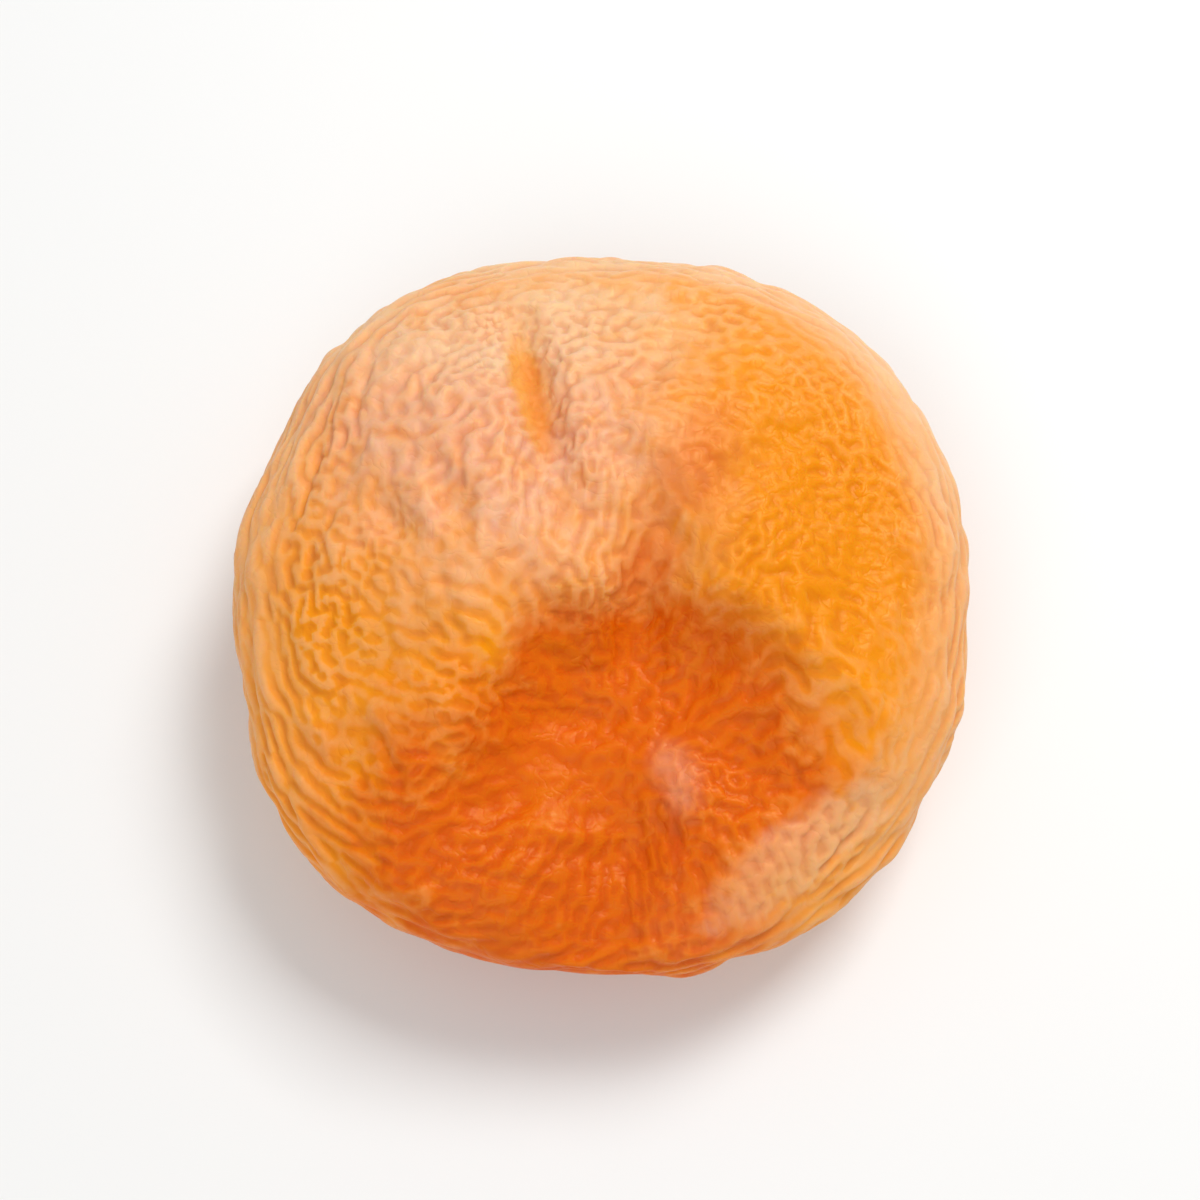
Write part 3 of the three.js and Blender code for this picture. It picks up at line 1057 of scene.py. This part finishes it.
def dry_skin(tree, region, broad, fine, low, colour):
    """The blush on the lobes, the pale bloom and patch, and the pale rim, which is partly its own
    colour and partly painted light on its side toward the key light.
    """
    speckled = stretch(tree, fine, BLUSH_LOW, BLUSH_HIGH, BLUSH_LEAST)
    blush = times(tree, region("blush"), speckled)
    colour = coat(tree, times(tree, blush, rest_of(tree, low)), colour, "blush")
    # Painted light: the pale rim shows only on its side toward the key light
    lit_side = shown(tree, painted(tree, "lit_side"), SHOWN["lit_side"])
    rim = times(tree, painted(tree, "rim"), lit_side)
    pale = strongest(tree, rim, region("pale_patch"), region("bloom"))
    pale = times(tree, pale, stretch(tree, broad, *BROAD_RANGE, PALE_LEAST))
    return coat(tree, pale, colour, "pale")


# %% Painted highlights on ridges, painted shade in valleys, and small marks
def ridge_highlights_and_valley_shade(tree, grain, clear, colour):
    """Painted shade in the valleys and painted highlights on the ridges, yellower where the flesh
    is clear.
    """
    relief = painted(tree, "relief")
    # Painted shade in the crinkles' valleys
    colour = coat(tree, shown(tree, relief, VALLEY_SHADE), colour, "red")
    # Painted highlights on the crinkles' ridges
    ridge = shown(tree, relief, RIDGE_HIGHLIGHTS)
    colour = coat(tree, times(tree, ridge, clear), colour, "glow")
    dry_ridge_highlight = times(tree, ridge, rest_of(tree, clear))
    colour = coat(tree, dry_ridge_highlight, colour, "pale")
    # Pale specks on the dry ridges: partly sugar grain, partly painted glints
    specks = shown(tree, grain, PALE_SPECKS)
    return coat(tree, times(tree, specks, dry_ridge_highlight), colour, "pale")


def flesh_colour(tree, place, fine, grain):
    region = region_painter(tree, place)
    broad = flesh_noise(tree, "broad", place).outputs[0]
    colour, glow, low = clear_flesh(tree, region, broad)
    colour = dry_skin(tree, region, broad, fine, low, colour)
    colour = ridge_highlights_and_valley_shade(tree, grain, strongest(tree, low, glow), colour)
    # Painted highlight: a pale spot on the small bump low in the hollow
    colour = coat(tree, region("knob"), colour, "blush")
    # Painted shade: a dark red line along the short crease
    colour = coat(tree, shown(tree, painted(tree, "shaded_seam"), SHOWN["shaded_seam"]), colour, "red")
    colour = coat(tree, region("scar"), colour, "scar")
    # Painted shade: a deeper colour along the slit's crease
    return coat(tree, shown(tree, painted(tree, "slit"), SHOWN["slit"]), colour, "deep")


# %% The skin's fine texture
STIR_REACH = 0.9 * MM
SQUIGGLE_GAIN = 5.0
SQUIGGLE_POWER = 0.6
GRAIN_SHARE = 0.9
BUMP_STRENGTH = 0.6
BUMP_DEPTH = 0.05 * MM


def skin_bump(tree, place, grain):
    """Grain and tiny squiggles, much too fine for the mesh."""
    stir = flesh_noise(tree, "stir", place).outputs["Color"]
    stirred = vector_node(tree, "ADD", place, vector_node(tree, "SCALE", stir, scale=STIR_REACH))
    squiggles = flesh_noise(tree, "squiggles", stirred).outputs[0]
    signed = math_node(tree, "SUBTRACT", squiggles, 0.5)
    folded = math_node(tree, "ABSOLUTE", signed)
    squiggles = math_node(tree, "MULTIPLY", folded, SQUIGGLE_GAIN, clamp=True)
    squiggles = math_node(tree, "POWER", squiggles, SQUIGGLE_POWER)
    texture = math_node(tree, "MULTIPLY_ADD", grain, GRAIN_SHARE, squiggles)
    inputs = {"Height": texture, "Strength": BUMP_STRENGTH, "Distance": BUMP_DEPTH}
    return add_node(tree, "ShaderNodeBump", inputs).outputs[0]


# %% The flesh
ROUGHNESS_RANGE = (0.3, 0.7, 0.34, 0.48)
FLESH_FINISH = {
    "Subsurface Weight": 0.5,
    "Subsurface Radius": (1.0, 0.35, 0.10),
    "Subsurface Scale": 0.6 * MM,
    "Specular IOR Level": 0.3,
    "Specular Tint": (1.0, 0.7, 0.35, 1),
}


def make_flesh():
    material = bpy.data.materials.new("apricot_flesh")
    material.use_nodes = True
    tree = material.node_tree
    shader = tree.nodes["Principled BSDF"]
    place = tree.nodes.new("ShaderNodeTexCoord").outputs["Object"]
    fine = flesh_noise(tree, "fine", place).outputs[0]
    grain = flesh_noise(tree, "grain", place).outputs[0]
    links = {
        "Base Color": flesh_colour(tree, place, fine, grain),
        "Roughness": stretch(tree, fine, *ROUGHNESS_RANGE),
        "Normal": skin_bump(tree, place, grain),
    }
    for name, socket in links.items():
        tree.links.new(socket, shader.inputs[name])
    for name, value in FLESH_FINISH.items():
        shader.inputs[name].default_value = value
    return material


flesh = make_flesh()
print("material:", flesh.name, "with", len(flesh.node_tree.nodes), "nodes")


# %% Raise the crinkles and turn the result into a plain mesh
def crinkle(smooth, material, name):
    """Runs the tree on the smooth fruit, and keeps the result in its place."""
    tree = make_crinkle_tree()
    modifier = smooth.modifiers.new("crinkles", "NODES")
    modifier.node_group = tree
    values = {key: value for key, (_, value) in CRINKLE_INPUTS.items()}
    values["Skin"] = material
    for item in tree.interface.items_tree:
        if item.in_out == "INPUT" and item.name in values:
            modifier[item.identifier] = values[item.name]
    depsgraph = bpy.context.evaluated_depsgraph_get()
    mesh = bpy.data.meshes.new_from_object(smooth.evaluated_get(depsgraph))
    mesh.name = name
    finished = bpy.data.objects.new(name, mesh)
    bpy.context.scene.collection.objects.link(finished)
    smooth.modifiers.remove(modifier)
    bpy.data.objects.remove(smooth)
    return finished


apricot = crinkle(fruit, flesh, "apricot_skin")
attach(apricot, "root")
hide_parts(NODE)
triangles = sum(len(polygon.vertices) - 2 for polygon in apricot.data.polygons)
print("crinkled skin:", triangles, "triangles")


# %% [markdown]
# ## The floor, the light and the camera
#
# The fruit lies on a plain pale floor. A soft light stands high at the upper right, so the steep
# wall of the hollow falls into shade, and a broad, weaker one fills the shadows from the lower left,
# as in a simple studio. The fruit was seen nearly face on, so the camera looks down on it from high
# in front.

# %% Floor
FLOOR_SIDE = 3000.0
FLOOR_COLOUR = (0.86, 0.86, 0.85)
FLOOR_ROUGHNESS = 0.6


def plain_material(name, colour, roughness):
    material = bpy.data.materials.new(name)
    material.use_nodes = True
    shader = material.node_tree.nodes["Principled BSDF"]
    shader.inputs["Base Color"].default_value = (*colour, 1)
    shader.inputs["Roughness"].default_value = roughness
    return material


floor_corners = np.array([(-1, -1, 0), (1, -1, 0), (1, 1, 0), (-1, 1, 0)]) * FLOOR_SIDE / 2
floor_mesh = make_mesh("floor", floor_corners, [(0, 1, 2, 3)])
floor = bpy.data.objects.new("floor", floor_mesh)
bpy.context.scene.collection.objects.link(floor)
floor_mesh.materials.append(plain_material("pale_floor", FLOOR_COLOUR, FLOOR_ROUGHNESS))
print("floor:", FLOOR_SIDE, "mm square")

# %% Light
WORLD_STRENGTH = 0.45
# Place in metres, side in metres, power in watts
LIGHTS = {
    "key": ((0.14, 0.19, 0.31), 0.16, 0.98),
    "fill": ((-0.12, -0.30, 0.32), 0.35, 0.68),
}


def soft_light(name, place, side, power):
    lamp = bpy.data.lights.new(name, "AREA")
    lamp.size = side
    lamp.energy = power
    light = bpy.data.objects.new(name, lamp)
    light.location = place
    aim = Vector((0, 0, EQUATOR_HEIGHT * MM)) - Vector(place)
    light.rotation_euler = aim.to_track_quat("-Z", "Y").to_euler()
    bpy.context.scene.collection.objects.link(light)


for name, (place, side, power) in LIGHTS.items():
    soft_light(name, place, side, power)
world = bpy.data.worlds.new("studio")
world.use_nodes = True
background = world.node_tree.nodes["Background"]
background.inputs["Color"].default_value = (1, 1, 1, 1)
background.inputs["Strength"].default_value = WORLD_STRENGTH
bpy.context.scene.world = world
bpy.context.scene.view_settings.view_transform = "Standard"
print("lights:", ", ".join(LIGHTS))

# %% Camera
# Two angles, then two distances in metres
ELEVATION = math.radians(70)
FIELD_OF_VIEW = math.radians(37.9)
DISTANCE = 0.098
NEAREST_SEEN = 0.002

camera_data = bpy.data.cameras.new("camera")
camera_data.angle = FIELD_OF_VIEW
camera_data.clip_start = NEAREST_SEEN
camera = bpy.data.objects.new("camera", camera_data)
target = Vector((0, 0, EQUATOR_HEIGHT * MM))
back = Vector((0, -math.cos(ELEVATION), math.sin(ELEVATION)))
camera.location = target + back * DISTANCE
camera.rotation_euler = (-back).to_track_quat("-Z", "Y").to_euler()
bpy.context.scene.collection.objects.link(camera)
bpy.context.scene.camera = camera
print("camera:", [round(side / MM) for side in camera.location], "mm")
